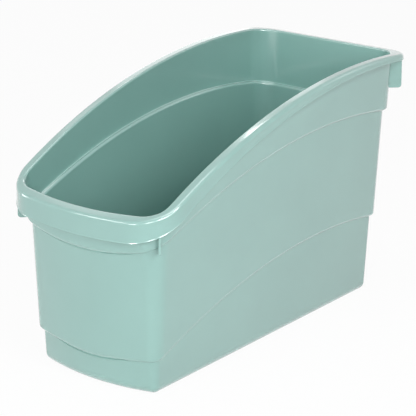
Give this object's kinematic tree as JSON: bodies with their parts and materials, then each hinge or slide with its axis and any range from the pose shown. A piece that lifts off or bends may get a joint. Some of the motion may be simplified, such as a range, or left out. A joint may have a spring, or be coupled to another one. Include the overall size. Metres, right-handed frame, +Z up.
{
  "type": "book browser bin",
  "caption": "Open one-piece plastic tub with a low bowed front, a high straight rear, a curved rim with a hanging skirt and stepped drafted walls, for holding picture books upright.",
  "frame": {"origin": "on the resting plane, under the centre of the rim's outline", "axes": "+X across the width, +Y along the length from the low front to the high rear, +Z up"},
  "size_m": [0.148, 0.3182, 0.1984],
  "materials": {
    "tub_plastic": "semi-gloss pale green moulded polypropylene"
  },
  "bodies": {
    "root": {"tub_shell": "tub_plastic"}
  },
  "joints": []
}
